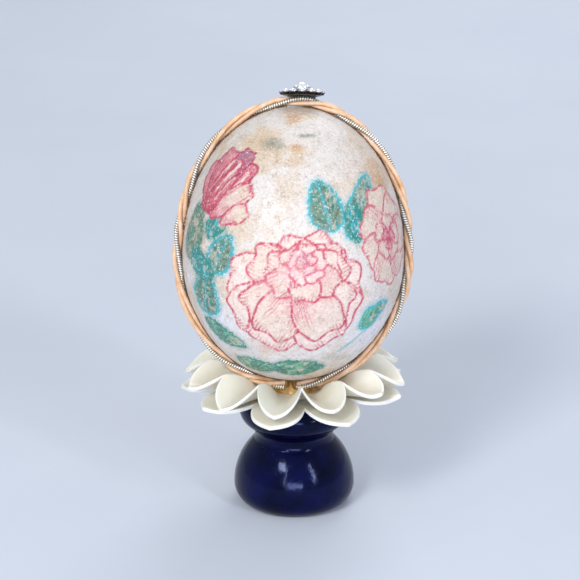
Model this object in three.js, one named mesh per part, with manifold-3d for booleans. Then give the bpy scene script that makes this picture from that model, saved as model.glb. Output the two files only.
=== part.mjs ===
// Decorated egg ornament: a blown hen's egg covered with printed rose paper, trimmed with a
// three-strand cord and a rhinestone finial, glued in a two-tier moulded flower on a turned stand.
// Millimetres, +Z up. The origin is the centre of the flat foot, and the front faces -Y.

import * as THREE from 'three';
import { mergeVertices } from 'three/addons/utils/BufferGeometryUtils.js';
import Module from 'manifold-3d';

const wasm = await Module();
wasm.setup();

// ---------------------------------------------------------------- driving dimensions

const EGG_RADIUS = 22.2; // shell, at its widest
const EGG_UPPER = 30.3; // widest section to the narrow end, which is up
const EGG_LOWER = 24.7; // widest section to the blunt end
const EGG_FULLNESS = 0.02; // how much the upper half swells and the lower half tapers
const SHELL_WALL = 0.4;
const BLOW_HOLE_ANGLE = THREE.MathUtils.degToRad(3.5); // half-size of the hole at each end
const EGG_COLUMNS = 32;
const EGG_ROWS = 11;

const LEAN_BACK = THREE.MathUtils.degToRad(16);
const LEAN_RIGHT = THREE.MathUtils.degToRad(1.2);
const EGG_CENTRE = new THREE.Vector3(-0.2, 0.5, 53);

const PAPER_GAP = 0.05;
const PAPER_THICKNESS = 0.15;
const PAPER_TOP = PAPER_GAP + PAPER_THICKNESS; // outer face of the paper above the shell
const SEAM_GAP = 0.1; // each paper edge to the seam plane, under the cord
const SEAM_SINE_LIMIT = 0.5; // keeps the seam from opening wide on the small rings at the ends
const PAPER_END_ANGLE = THREE.MathUtils.degToRad(5); // bare shell round each blow hole

const STRAND_RADIUS = 0.46;
const LAY_RADIUS = 0.57; // strand centres to the middle of the twisted cord
const CORD_RADIUS = STRAND_RADIUS + LAY_RADIUS;
const CORD_TO_PAPER = 0.05;
const CORD_OFFSET = PAPER_TOP + CORD_TO_PAPER + CORD_RADIUS;
const CORD_TWISTS = 8.12;
const SILVER_START = -0.074; // where in its turn the silver strand begins
// The hand-laid twist is uneven: waves round the egg of [count, size in turns, shift in turns].
const LAY_WAVES = [[1, 0.083, 0.256], [3, 0.046, -0.095], [4, 0.122, -0.098]];
const STRAND_STEPS = 100;
const CORD_END_GAP = THREE.MathUtils.degToRad(3); // each cut end to the egg's lowest point
const CORD_SAMPLES = 160;
const STRAND_SIDES = 8;

const FINIAL_SHIFT = 1.1; // to the right of the egg's axis
const FINIAL_TILT = THREE.MathUtils.degToRad(5); // further back than the egg
const FINIAL_TO_CORD = 0.05;
const FINIAL_PLATE_RADIUS = 4;
const FINIAL_PLATE_THICKNESS = 0.3;
const PLATE_TAPER = 0.94; // underside of the plate to its rim
const RING_STONES = 12;
const RING_RADIUS = 3.75;
const SMALL_STONE_RADIUS = 0.7;
const SMALL_CUP_HEIGHT = 0.8;
const CENTRE_STONE_RADIUS = 1.6;
const CENTRE_CUP_HEIGHT = 1.8;
const CUP_WALL = 0.14;
const CUP_CLEARANCE = 0.08;
const CUP_FOOT = 0.8; // a cup's foot to its rim
const CUP_SEAT = 0.7; // a cup's inner floor to its inner rim
const STONE_TABLE = 0.55; // a stone's flat top to its girdle
const STONE_CROWN = 0.45; // a stone's height over its girdle, to its radius
const STONE_DEPTH = 0.8; // a stone's depth below its girdle, to its radius
const STONE_SIDES = 8;
const PLATE_SIDES = 24;
const DAB_RADIUS = 3.3; // glue behind the cord that holds the finial, where it meets the plate
const DAB_FOOT = 2.9; // inside the egg's outline, before the glue is cut to the egg
const DAB_DROP = 3;

const FOOT_RADIUS = 9.3;
const BELLY_RADIUS = 12.5;
const BELLY_HEIGHT = 3.8;
const DOME_RISE = 13.1; // half-height of the ellipse that the dome is part of
const NECK_RADIUS = 8.15;
const COLLAR_RADIUS = 11.35;
const COLLAR_HEIGHT = 20.3; // of the collar's widest line
const COLLAR_HALF_HEIGHT = 3.4;
const STAND_TOP = 23.2;
const STAND_TOP_RADIUS = 8.4;
const STAND_SIDES = 36;
const CURVE_POINTS = 6; // segments of each rounded part of the stand's outline

const TIER_GAP = 0.1;
const HUB_RADIUS = 7;
const CUP_START_RADIUS = 8.6; // where the ridges between petals begin to rise
const LOWER_TIER = {
  petals: 9,
  firstPetal: THREE.MathUtils.degToRad(-12),
  tipRadius: 23.4,
  notchRadius: 15,
  hubBottom: STAND_TOP + TIER_GAP,
  hubTop: 24.6,
  valleyAtTip: 25.5,
  ridgeHeight: 1.2,
  wall: 0.8,
  tipLifts: [0.2, 0, 1.2, 0.3, -0.2, 0.3, 0, -0.6, 0.8], // of each petal, in order
};
const UPPER_TIER = {
  petals: 12,
  firstPetal: THREE.MathUtils.degToRad(-10),
  tipRadius: 23,
  notchRadius: 17,
  hubBottom: LOWER_TIER.hubTop + TIER_GAP,
  hubTop: 26,
  valleyAtTip: 27.8,
  ridgeHeight: 4.2,
  wall: 0.8,
  tipLifts: [0.1, 1, 1.9, -0.3, 0.3, 0.6, -0.2, 0.5, 0.3, -0.7, 0.4, -0.5],
};
const COLUMNS_PER_PETAL = 6;
const PETAL_ROWS = 5;
const PETAL_POINT = 0.55; // 0 is a round tip, 1 a straight-sided point
const PETAL_ROUNDNESS = 2.6; // exponent of the round tip's outline
const RIDGE_SHARPNESS = 1.8; // exponent of the rise from a petal's middle to its ridge
const RIDGE_EARLINESS = 0.8; // exponent of the ridge's climb away from the hub

const GLUE_RADIUS = 7.2; // where the glue meets the flower's hub
const GLUE_WAIST = 5.9; // under the egg
const GLUE_TOP = 29.4;
const GLUE_CURVE_POINTS = 4;
const GLUE_CLEARANCE = 0.12; // glue to the egg and to the cord
const GLUE_SIDES = 28;
const CORD_CUT_ANGLE = 0.6; // how far the cut for the cord runs each way, round the egg's outline
const CORD_CUT_STEPS = 12;

const TANGENT_STEP = 1e-4;
const WELD_DISTANCE = 1e-4;

// ---------------------------------------------------------------- materials

const material = (color, roughness, metalness) =>
  new THREE.MeshStandardMaterial({ color, roughness, metalness });
const lacquer = material(0x0d1238, 0.15, 0.0);
const ivory = material(0xeae4cf, 0.4, 0.0);
const amberGlue = material(0xb98436, 0.25, 0.0);
const eggshell = material(0xeee6d8, 0.6, 0.0);
const rosePaper = material(0xe9d9c6, 0.7, 0.0);
const peachSatin = material(0xe3b48a, 0.45, 0.0);
const silverPurl = material(0xd9d6d0, 0.3, 0.9);
const silverMetal = material(0xb9bbc2, 0.25, 1.0);
const crystal = material(0xf2f6ff, 0.05, 0.1);

// ---------------------------------------------------------------- shared geometry

// A point of the egg's outline in its X-Z plane, standing `offset` off the shell. The angle runs
// anticlockwise from +X: the narrow end is at a quarter turn.
function eggOutline(angle, offset = 0) {
  const at = (a) => {
    const end = Math.sign(Math.sin(a));
    const swell = 1 + EGG_FULLNESS * end * Math.sin(2 * a) ** 2;
    const axial = end > 0 ? EGG_UPPER : EGG_LOWER;
    return new THREE.Vector2(EGG_RADIUS * Math.cos(a) * swell, axial * Math.sin(a));
  };
  const tangent = at(angle + TANGENT_STEP).sub(at(angle - TANGENT_STEP)).normalize();
  return at(angle).add(new THREE.Vector2(tangent.y, -tangent.x).multiplyScalar(offset));
}

// Points of the outline from one end angle to the other.
function outlinePoints(from, to, count, offset) {
  return Array.from({ length: count + 1 }, (_, i) =>
    eggOutline(THREE.MathUtils.lerp(from, to, i / count), offset));
}

// Points of an elliptical arc in a lathe profile (x is the radius, y the height).
function arc(centreRadius, centreHeight, radial, axial, from, to, count) {
  return Array.from({ length: count + 1 }, (_, i) => {
    const a = THREE.MathUtils.lerp(from, to, i / count);
    return new THREE.Vector2(centreRadius + radial * Math.cos(a), centreHeight + axial * Math.sin(a));
  });
}

// A solid of revolution about Z.
function turned(profile, segments) {
  return new THREE.LatheGeometry(profile, segments).rotateX(Math.PI / 2);
}

// A closed body whose every column of points, running round the body from its top to its
// underside, is given by columnAt. Columns go anticlockwise seen from above; a body that doesn't
// go all the way round is closed with its first and last columns.
function skinned(columns, columnAt, closedRing) {
  const count = closedRing ? columns : columns + 1;
  const points = Array.from({ length: count }, (_, j) => columnAt(j));
  const perColumn = points[0].length;
  const index = [];
  for (let j = 0; j < columns; j += 1) {
    const next = (j + 1) % count;
    for (let i = 0; i < perColumn; i += 1) {
      const below = (i + 1) % perColumn;
      if (closedRing && below === 0) continue;
      const [a, b, c, d] = [
        j * perColumn + i, j * perColumn + below, next * perColumn + below, next * perColumn + i,
      ];
      index.push(a, b, c, a, c, d);
    }
  }
  if (!closedRing) {
    for (const [first, flip] of [[0, false], [(count - 1) * perColumn, true]]) {
      for (let i = 0; i < perColumn / 2 - 1; i += 1) {
        const [a, b] = [first + i, first + i + 1];
        const [c, d] = [first + perColumn - 2 - i, first + perColumn - 1 - i];
        index.push(...(flip ? [a, b, c, a, c, d] : [a, c, b, a, d, c]));
      }
    }
  }
  const geometry = new THREE.BufferGeometry();
  geometry.setAttribute('position', new THREE.Float32BufferAttribute(
    points.flat().flatMap((p) => [p.x, p.y, p.z]), 3));
  geometry.setIndex(index);
  return geometry;
}

function toManifold(geometry) {
  const bare = geometry.clone();
  bare.deleteAttribute('normal');
  bare.deleteAttribute('uv');
  const merged = mergeVertices(bare, WELD_DISTANCE);
  const corners = merged.index.array;
  const kept = [];
  for (let i = 0; i < corners.length; i += 3) {
    const [a, b, c] = corners.slice(i, i + 3);
    if (a !== b && b !== c && c !== a) kept.push(a, b, c);
  }
  return new wasm.Manifold(new wasm.Mesh({
    numProp: 3,
    vertProperties: new Float32Array(merged.attributes.position.array),
    triVerts: new Uint32Array(kept),
  }));
}

function fromManifold(solid) {
  const mesh = solid.getMesh();
  const geometry = new THREE.BufferGeometry();
  geometry.setAttribute('position', new THREE.Float32BufferAttribute(mesh.vertProperties, 3));
  geometry.setIndex(Array.from(mesh.triVerts));
  return geometry;
}

function named(name, geometry, meshMaterial) {
  const mesh = new THREE.Mesh(geometry, meshMaterial);
  mesh.name = name;
  return mesh;
}

// ---------------------------------------------------------------- stand

function standGeometry() {
  const quarter = Math.PI / 2;
  const shoulder = Math.acos(NECK_RADIUS / BELLY_RADIUS);
  const collarReach = COLLAR_RADIUS - NECK_RADIUS;
  const collarTop = Math.asin((STAND_TOP - COLLAR_HEIGHT) / COLLAR_HALF_HEIGHT);
  const profile = [
    new THREE.Vector2(0, 0),
    ...arc(FOOT_RADIUS, BELLY_HEIGHT, BELLY_RADIUS - FOOT_RADIUS, BELLY_HEIGHT, -quarter, 0,
      CURVE_POINTS),
    ...arc(0, BELLY_HEIGHT, BELLY_RADIUS, DOME_RISE, 0, shoulder, CURVE_POINTS).slice(1),
    ...arc(NECK_RADIUS, COLLAR_HEIGHT, collarReach, COLLAR_HALF_HEIGHT, -quarter, collarTop,
      CURVE_POINTS),
    new THREE.Vector2(STAND_TOP_RADIUS, STAND_TOP),
    new THREE.Vector2(0, STAND_TOP),
  ];
  return turned(profile, STAND_SIDES);
}

// ---------------------------------------------------------------- flower

// One moulded tier: a hub, and a ring of cupped petals that share a raised ridge with each
// neighbour as far as the notch between them.
function tierGeometry(tier) {
  const pitch = (2 * Math.PI) / tier.petals;
  const columns = tier.petals * COLUMNS_PER_PETAL;
  const edgeRadius = (across) => {
    const round = 1 - across ** PETAL_ROUNDNESS;
    const pointed = 1 - across;
    return THREE.MathUtils.lerp(tier.notchRadius, tier.tipRadius,
      THREE.MathUtils.lerp(round, pointed, PETAL_POINT * (1 - across)));
  };
  const surface = (radius, across, tipLift) => {
    const out = (radius - HUB_RADIUS) / (tier.tipRadius - HUB_RADIUS);
    const valley = THREE.MathUtils.lerp(tier.hubTop, tier.valleyAtTip, Math.sin(out * Math.PI / 2));
    const climb = (radius - CUP_START_RADIUS) / (tier.notchRadius - CUP_START_RADIUS);
    const cupped = Math.sin(THREE.MathUtils.clamp(climb, 0, 1) ** RIDGE_EARLINESS * Math.PI / 2);
    return valley + tier.ridgeHeight * cupped * across ** RIDGE_SHARPNESS
      + tipLift * out ** 2 * (1 - across);
  };
  return skinned(columns, (j) => {
    const petalAngle = (j / COLUMNS_PER_PETAL) * pitch;
    const tipLift = tier.tipLifts[Math.round(j / COLUMNS_PER_PETAL) % tier.petals];
    const fromMiddle = j % COLUMNS_PER_PETAL / COLUMNS_PER_PETAL;
    const across = 2 * Math.min(fromMiddle, 1 - fromMiddle);
    const angle = tier.firstPetal + petalAngle - Math.PI / 2;
    const point = (radius, z) =>
      new THREE.Vector3(radius * Math.cos(angle), radius * Math.sin(angle), z);
    const radii = Array.from({ length: PETAL_ROWS + 1 }, (_, i) =>
      THREE.MathUtils.lerp(HUB_RADIUS, edgeRadius(across), i / PETAL_ROWS));
    return [
      point(0, tier.hubTop),
      ...radii.map((r) => point(r, surface(r, across, tipLift))),
      ...radii.toReversed().map((r) => point(r, surface(r, across, tipLift) - tier.wall)),
      point(HUB_RADIUS, tier.hubBottom),
      point(0, tier.hubBottom),
    ];
  }, true);
}

// ---------------------------------------------------------------- egg

// The shell and the paper share their rows and columns, so the thin gap between them is even.
function paperRows(offset) {
  const end = Math.PI / 2 - PAPER_END_ANGLE;
  return outlinePoints(-end, end, EGG_ROWS, offset);
}

function shellGeometry() {
  const hole = Math.PI / 2 - BLOW_HOLE_ANGLE;
  const surface = (offset) =>
    [eggOutline(-hole, offset), ...paperRows(offset), eggOutline(hole, offset)];
  const outside = surface(0);
  return turned([...outside, ...surface(-SHELL_WALL).reverse(), outside[0].clone()], EGG_COLUMNS);
}

// Paper over the half of the shell that starts at the given angle round the egg's axis.
function paperGeometry(startAngle) {
  const half = EGG_COLUMNS / 2;
  return skinned(half, (j) => {
    const wrap = (p) => {
      const seam = j === 0 || j === half ? Math.asin(Math.min(SEAM_SINE_LIMIT, SEAM_GAP / p.x)) : 0;
      const angle = startAngle + (Math.PI * j) / half + (j === 0 ? seam : -seam);
      return new THREE.Vector3(p.x * Math.cos(angle), p.x * Math.sin(angle), p.y);
    };
    return [...paperRows(PAPER_TOP).reverse().map(wrap), ...paperRows(PAPER_GAP).map(wrap)];
  }, false);
}

// ---------------------------------------------------------------- cord

// The cord's middle line: once round the egg in its X-Z plane, clockwise seen from the front,
// from one cut end at the blunt end of the egg to the other.
function cordLine() {
  const [from, to] = [-Math.PI / 2 - CORD_END_GAP, (-5 * Math.PI) / 2 + CORD_END_GAP];
  return new THREE.CatmullRomCurve3(outlinePoints(from, to, CORD_SAMPLES, CORD_OFFSET)
    .map((p) => new THREE.Vector3(p.x, 0, p.y)));
}

class StrandCurve extends THREE.Curve {
  constructor(middle, start) {
    super();
    this.middle = middle;
    this.start = start;
  }

  getPoint(u, target = new THREE.Vector3()) {
    const along = this.middle.getTangentAt(u);
    const out = new THREE.Vector3(-along.z, 0, along.x);
    const waves = LAY_WAVES.reduce((sum, [count, size, shift]) =>
      sum + size * Math.sin(2 * Math.PI * (count * u + shift)), 0);
    const turn = 2 * Math.PI * (CORD_TWISTS * u + this.start + waves);
    return target.copy(this.middle.getPointAt(u))
      .addScaledVector(out, LAY_RADIUS * Math.cos(turn))
      .addScaledVector(new THREE.Vector3(0, 1, 0), LAY_RADIUS * Math.sin(turn));
  }
}

function polygon(radius, sides) {
  return new THREE.Shape(Array.from({ length: sides }, (_, i) => new THREE.Vector2(
    radius * Math.cos((2 * Math.PI * i) / sides), radius * Math.sin((2 * Math.PI * i) / sides))));
}

function tube(curve, radius, sides, steps) {
  return new THREE.ExtrudeGeometry(polygon(radius, sides), {
    steps, extrudePath: curve, bevelEnabled: false,
  });
}

// ---------------------------------------------------------------- finial

function cupGeometry(stoneRadius, height) {
  const inner = stoneRadius + CUP_CLEARANCE;
  const outer = inner + CUP_WALL;
  const floor = FINIAL_PLATE_THICKNESS;
  return turned([
    new THREE.Vector2(0, floor / 2),
    new THREE.Vector2(outer * CUP_FOOT, floor / 2),
    new THREE.Vector2(outer, height),
    new THREE.Vector2(inner, height),
    new THREE.Vector2(inner * CUP_SEAT, floor),
    new THREE.Vector2(0, floor),
  ], STONE_SIDES);
}

function settingGeometry() {
  let solid = toManifold(turned([
    new THREE.Vector2(0, 0),
    new THREE.Vector2(FINIAL_PLATE_RADIUS * PLATE_TAPER, 0),
    new THREE.Vector2(FINIAL_PLATE_RADIUS, FINIAL_PLATE_THICKNESS),
    new THREE.Vector2(0, FINIAL_PLATE_THICKNESS),
  ], PLATE_SIDES));
  solid = solid.add(toManifold(cupGeometry(CENTRE_STONE_RADIUS, CENTRE_CUP_HEIGHT)));
  for (let i = 0; i < RING_STONES; i += 1) {
    const cup = cupGeometry(SMALL_STONE_RADIUS, SMALL_CUP_HEIGHT);
    cup.translate(RING_RADIUS, 0, 0).rotateZ((2 * Math.PI * i) / RING_STONES);
    solid = solid.add(toManifold(cup));
  }
  return fromManifold(solid);
}

// A round faceted stone whose girdle is level with the rim of a cup of the given height.
function stoneGeometry(radius, cupHeight) {
  const depth = Math.min(radius * STONE_DEPTH, cupHeight - FINIAL_PLATE_THICKNESS - CUP_CLEARANCE);
  const top = cupHeight + radius * STONE_CROWN;
  return turned([
    new THREE.Vector2(0, cupHeight - depth),
    new THREE.Vector2(radius, cupHeight),
    new THREE.Vector2(radius * STONE_TABLE, top),
    new THREE.Vector2(0, top),
  ], STONE_SIDES);
}

// ---------------------------------------------------------------- glue

// The space that the papered egg and its cord take up, with the glue's clearance, from one angle
// round the egg's outline to another.
function eggSpace(lowest, highest) {
  const quarter = Math.PI / 2;
  const egg = turned(outlinePoints(-quarter, quarter, 2 * EGG_ROWS, PAPER_TOP + GLUE_CLEARANCE)
    .map((p) => new THREE.Vector2(Math.max(0, p.x), p.y)), EGG_COLUMNS);
  const line = outlinePoints(lowest, highest, CORD_CUT_STEPS, CORD_OFFSET)
    .map((p) => new THREE.Vector3(p.x, 0, p.y));
  const channel = tube(new THREE.CatmullRomCurve3(line), CORD_RADIUS + GLUE_CLEARANCE,
    CORD_CUT_STEPS, CORD_CUT_STEPS);
  return toManifold(egg).add(toManifold(channel));
}

// The pool on the flower's hub that the egg stands in.
function glueBedGeometry(eggMatrix) {
  const floor = UPPER_TIER.hubTop + TIER_GAP;
  const quarter = Math.PI / 2;
  const blank = turned([
    new THREE.Vector2(0, floor),
    ...arc(GLUE_RADIUS, GLUE_TOP, GLUE_RADIUS - GLUE_WAIST, GLUE_TOP - floor, -quarter, -2 * quarter,
      GLUE_CURVE_POINTS),
    new THREE.Vector2(0, GLUE_TOP),
  ], GLUE_SIDES);
  const space = eggSpace(-quarter - CORD_CUT_ANGLE, -quarter + CORD_CUT_ANGLE);
  return fromManifold(toManifold(blank).subtract(space.transform(eggMatrix.elements)));
}

// The dab that holds the finial, behind the cord, in the egg's own frame.
function glueDabGeometry(finialMatrix) {
  const quarter = Math.PI / 2;
  const blank = turned([
    new THREE.Vector2(0, -DAB_DROP),
    new THREE.Vector2(DAB_FOOT, -DAB_DROP),
    new THREE.Vector2(DAB_RADIUS, -FINIAL_TO_CORD),
    new THREE.Vector2(0, -FINIAL_TO_CORD),
  ], GLUE_SIDES);
  return fromManifold(toManifold(blank.applyMatrix4(finialMatrix))
    .subtract(eggSpace(quarter - CORD_CUT_ANGLE, quarter + CORD_CUT_ANGLE))
    .trimByPlane([0, 1, 0], STRAND_RADIUS));
}

// ---------------------------------------------------------------- assembly

const ornament = new THREE.Group();
ornament.add(named('turned_stand', standGeometry(), lacquer));
ornament.add(named('lower_petal_tier', tierGeometry(LOWER_TIER), ivory));
ornament.add(named('upper_petal_tier', tierGeometry(UPPER_TIER), ivory));

const egg = new THREE.Group();
egg.position.copy(EGG_CENTRE);
egg.rotation.set(-LEAN_BACK, LEAN_RIGHT, 0, 'YXZ');
egg.updateMatrix();
ornament.add(egg);
ornament.add(named('glue_bed', glueBedGeometry(egg.matrix), amberGlue));

egg.add(named('egg_shell', shellGeometry(), eggshell));
egg.add(named('rose_paper_front', paperGeometry(-Math.PI), rosePaper));
egg.add(named('rose_paper_back', paperGeometry(0), rosePaper));

const middle = cordLine();
const strands = [
  ['silver_purl_cord', silverPurl], ['peach_cord_a', peachSatin], ['peach_cord_b', peachSatin],
];
strands.forEach(([name, strandMaterial], i) => {
  const curve = new StrandCurve(middle, SILVER_START + i / strands.length);
  egg.add(named(name, tube(curve, STRAND_RADIUS, STRAND_SIDES, STRAND_STEPS), strandMaterial));
});

const finial = new THREE.Group();
finial.position.x = FINIAL_SHIFT;
finial.position.z = EGG_UPPER + CORD_OFFSET + CORD_RADIUS + FINIAL_TO_CORD;
finial.rotation.x = -FINIAL_TILT;
finial.updateMatrix();
egg.add(finial);
egg.add(named('finial_glue', glueDabGeometry(finial.matrix), amberGlue));
finial.add(named('finial_setting', settingGeometry(), silverMetal));
finial.add(named('finial_centre_stone', stoneGeometry(CENTRE_STONE_RADIUS, CENTRE_CUP_HEIGHT), crystal));
for (let i = 0; i < RING_STONES; i += 1) {
  const stone = named(`finial_ring_stone_${String(i + 1).padStart(2, '0')}`,
    stoneGeometry(SMALL_STONE_RADIUS, SMALL_CUP_HEIGHT), crystal);
  const angle = (2 * Math.PI * i) / RING_STONES;
  stone.position.set(RING_RADIUS * Math.cos(angle), RING_RADIUS * Math.sin(angle), 0);
  finial.add(stone);
}

export default ornament;
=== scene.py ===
"""Decorated egg ornament: the surfaces, colours and finishes of each piece, built around the CAD frame.

The egg and everything glued to it is laid out in the egg's own frame, whose Z runs to the narrow end
and whose -Y is the front. Sizes are in millimetres until build_mesh() turns them into metres.
"""

import itertools
import math

import bmesh
import bpy
import numpy as np
from mathutils import Matrix, Vector


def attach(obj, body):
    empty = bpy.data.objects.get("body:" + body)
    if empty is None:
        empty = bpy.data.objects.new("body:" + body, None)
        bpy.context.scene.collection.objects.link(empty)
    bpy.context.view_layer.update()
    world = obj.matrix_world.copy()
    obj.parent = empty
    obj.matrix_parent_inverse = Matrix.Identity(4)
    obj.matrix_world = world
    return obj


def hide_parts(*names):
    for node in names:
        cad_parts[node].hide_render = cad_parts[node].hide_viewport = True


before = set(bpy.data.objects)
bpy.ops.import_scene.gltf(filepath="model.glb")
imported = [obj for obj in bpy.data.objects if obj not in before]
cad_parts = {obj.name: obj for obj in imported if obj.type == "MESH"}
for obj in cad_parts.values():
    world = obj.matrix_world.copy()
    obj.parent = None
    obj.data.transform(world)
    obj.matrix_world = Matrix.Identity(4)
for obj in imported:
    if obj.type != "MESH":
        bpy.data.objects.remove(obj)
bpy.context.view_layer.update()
MM = 0.001

# ---- driving dimensions, as in the CAD

EGG_RADIUS = 22.2
EGG_UPPER = 30.3
EGG_LOWER = 24.7
EGG_FULLNESS = 0.02
SHELL_WALL = 0.4
BLOW_HOLE_ANGLE = math.radians(3.5)
LEAN_BACK = math.radians(16)
LEAN_RIGHT = math.radians(1.2)
EGG_CENTRE = Vector((-0.2, 0.5, 53))

PAPER_GAP = 0.05
PAPER_TOP = 0.20
SEAM_GAP = 0.1
PAPER_END_ANGLE = math.radians(5)

STRAND_RADIUS = 0.46
LAY_RADIUS = 0.57
CORD_RADIUS = STRAND_RADIUS + LAY_RADIUS
CORD_TO_PAPER = 0.05
CORD_OFFSET = PAPER_TOP + CORD_TO_PAPER + CORD_RADIUS
CORD_TWISTS = 8.12
SILVER_START = -0.074
LAY_WAVES = (  # count, size in turns and shift in turns
    (1, 0.083, 0.256),
    (3, 0.046, -0.095),
    (4, 0.122, -0.098),
)
CORD_END_GAP = math.radians(3)

FINIAL_SHIFT = 1.1
FINIAL_TILT = math.radians(5)
FINIAL_TO_CORD = 0.05
PLATE_RADIUS = 4
PLATE_THICKNESS = 0.3
RING_STONES = 12
RING_RADIUS = 3.75
SMALL_STONE_RADIUS = 0.7
SMALL_CUP_HEIGHT = 0.8
CENTRE_STONE_RADIUS = 1.6
CENTRE_CUP_HEIGHT = 1.8
CUP_CLEARANCE = 0.08
CUP_WALL = 0.14
DAB_RADIUS = 3.3  # the finial's glue, where it meets the plate
DAB_FOOT = 2.9  # and where it meets the egg

FOOT_RADIUS = 9.3
BELLY_RADIUS = 12.5
BELLY_HEIGHT = 3.8
DOME_RISE = 13.1
NECK_RADIUS = 8.15
COLLAR_RADIUS = 11.35
COLLAR_HEIGHT = 20.3
COLLAR_HALF_HEIGHT = 3.4
STAND_TOP = 23.2
STAND_TOP_RADIUS = 8.4

TIER_GAP = 0.1
HUB_RADIUS = 7
CUP_START_RADIUS = 8.6
PETAL_POINT = 0.55
LOWER_TIER = dict(petals=9, first=math.radians(-12), tip=23.4, notch=15, hub_bottom=23.3,
                  hub_top=24.6, valley_at_tip=25.5, ridge=1.2, wall=0.8,
                  tip_lifts=(0.2, 0, 1.2, 0.3, -0.2, 0.3, 0, -0.6, 0.8))
UPPER_TIER = dict(petals=12, first=math.radians(-10), tip=23, notch=17, hub_bottom=24.7,
                  hub_top=26, valley_at_tip=27.8, ridge=4.2, wall=0.8,
                  tip_lifts=(0.1, 1, 1.9, -0.3, 0.3, 0.6, -0.2, 0.5, 0.3, -0.7, 0.4, -0.5))

GLUE_RADIUS = 7.2
GLUE_WAIST = 5.9
GLUE_CLEARANCE = 0.12

QUARTER = math.pi / 2
FULL_TURN = 2 * math.pi

# ---- camera, floor and lights

CAMERA_TARGET = Vector((-0.85, 0, 46.1))
CAMERA_DISTANCE = 520
CAMERA_ELEVATION = math.radians(20.5)
CAMERA_LENS = 158.7
SENSOR_WIDTH = 36
NEAREST_SEEN = 0.01  # metres
FLOOR_REACH = 3000
LIGHT_TARGET = (0, 0, 45)
LIGHTS = (  # place, width, height, watts and colour
    ("key", (-300, -520, 520), 180, 180, 2.7, "#FFFDF8"),
    ("fill", (430, -500, 330), 60, 420, 1.5, "#F3F6FF"),
    ("left_strip", (-230, -700, 330), 34, 420, 0.9, "#F3F6FF"),
    ("low", (15, -600, 95), 300, 80, 1.05, "#E4EAFF"),
    ("back", (160, 560, 520), 400, 300, 2.0, "#FFFFFF"),
)


# ---- small tools

def linear(hex_colour):
    """Linear RGB of a colour written as #RRGGBB."""
    parts = np.array([int(hex_colour[i:i + 2], 16) for i in (1, 3, 5)]) / 255
    return np.where(parts <= 0.04045, parts / 12.92, ((parts + 0.055) / 1.055) ** 2.4)


def smooth(low, high, value):
    """0 below low, 1 above high, and an S curve between."""
    t = np.clip((value - low) / (high - low), 0, 1)
    return t * t * (3 - 2 * t)


def mix(a, b, amount):
    return a + (b - a) * amount


def turns(count):
    """Angles evenly spread round a circle, in radians."""
    return np.linspace(0, FULL_TURN, count, endpoint=False)


def direction(aim):
    """Unit vectors along an aim in degrees, anticlockwise from the right, and across it."""
    way = np.array([math.cos(math.radians(aim)), math.sin(math.radians(aim))])
    return way, np.array([-way[1], way[0]])


def run_along(line):
    """Distance of each point of a line from its start, measured along it."""
    return np.concatenate([[0], np.cumsum(np.linalg.norm(np.diff(line, axis=0), axis=1))])


def unit(vectors):
    return vectors / np.linalg.norm(vectors, axis=-1, keepdims=True)


def moved(points, matrix):
    matrix = np.array(matrix)
    return points @ matrix[:3, :3].T + matrix[:3, 3]


class Noise:
    """Smooth random values between -1 and 1 that vary over `cell` millimetres."""

    SIZE = 48

    def __init__(self, cell, seed):
        self.cell = cell
        self.table = np.random.default_rng(seed).uniform(-1, 1, (self.SIZE,) * 3)

    def __call__(self, points):
        scaled = np.asarray(points, float) / self.cell
        base = np.floor(scaled).astype(int)
        part = scaled - base
        part = part * part * (3 - 2 * part)
        total = np.zeros(len(scaled))
        for corner in itertools.product((0, 1), repeat=3):
            weight = np.prod(np.where(corner, part, 1 - part), axis=1)
            total += weight * self.table[tuple(((base + corner) % self.SIZE).T)]
        return total


def build_mesh(name, points, faces, matrix=Matrix.Identity(4), smooth_faces=True):
    """A mesh object from points in millimetres, moved by a matrix that is also in millimetres."""
    mesh = bpy.data.meshes.new(name)
    mesh.from_pydata([tuple(p) for p in np.asarray(points, float)], [], faces)
    mesh.transform(Matrix.Scale(MM, 4) @ matrix)
    mesh.polygons.foreach_set("use_smooth", [smooth_faces] * len(mesh.polygons))
    mesh.update()
    piece = bpy.data.objects.new(name, mesh)
    bpy.context.scene.collection.objects.link(piece)
    return piece


def grid_faces(rows, columns, ring=False):
    """Quads between points laid out row by row. A ring joins its last column to its first."""
    faces = []
    for i in range(rows - 1):
        for j in range(columns if ring else columns - 1):
            k = (j + 1) % columns
            row, next_row = i * columns, (i + 1) * columns
            faces.append((row + j, row + k, next_row + k, next_row + j))
    return faces


def capped_faces(rows, columns):
    """Faces of rings laid row by row, closed by two more points, the first end's and the last's."""
    faces = grid_faces(rows, columns, ring=True)
    first, last, row = rows * columns, rows * columns + 1, (rows - 1) * columns
    for j in range(columns):
        k = (j + 1) % columns
        faces += [(first, k, j), (last, row + j, row + k)]
    return faces


def spin(profile, turn):
    """Points of a profile (radius, height) turned to each angle, row by row."""
    radius, height = profile[:, :1], profile[:, 1:]
    return np.stack([radius * np.cos(turn), radius * np.sin(turn), height + 0 * turn], -1).reshape(-1, 3)


def revolve(profile, segments):
    """Points and faces of a solid of revolution whose profile (radius, height) starts at the bottom
    of the axis and ends at the top of it."""
    profile = np.asarray(profile, float)
    rim = profile[1:-1]
    points = np.vstack([spin(rim, turns(segments)), [0, 0, profile[0, 1]], [0, 0, profile[-1, 1]]])
    return points, capped_faces(len(rim), segments)


def stacked(loops):
    """Points and faces of a solid made of loops, one on the next, closed by its first and last."""
    columns = len(loops[0])
    points = np.vstack(loops)
    faces = [face[::-1] for face in grid_faces(len(loops), columns, ring=True)]
    faces += [tuple(range(columns)), tuple(range(len(points) - 1, len(points) - 1 - columns, -1))]
    return points, faces


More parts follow.
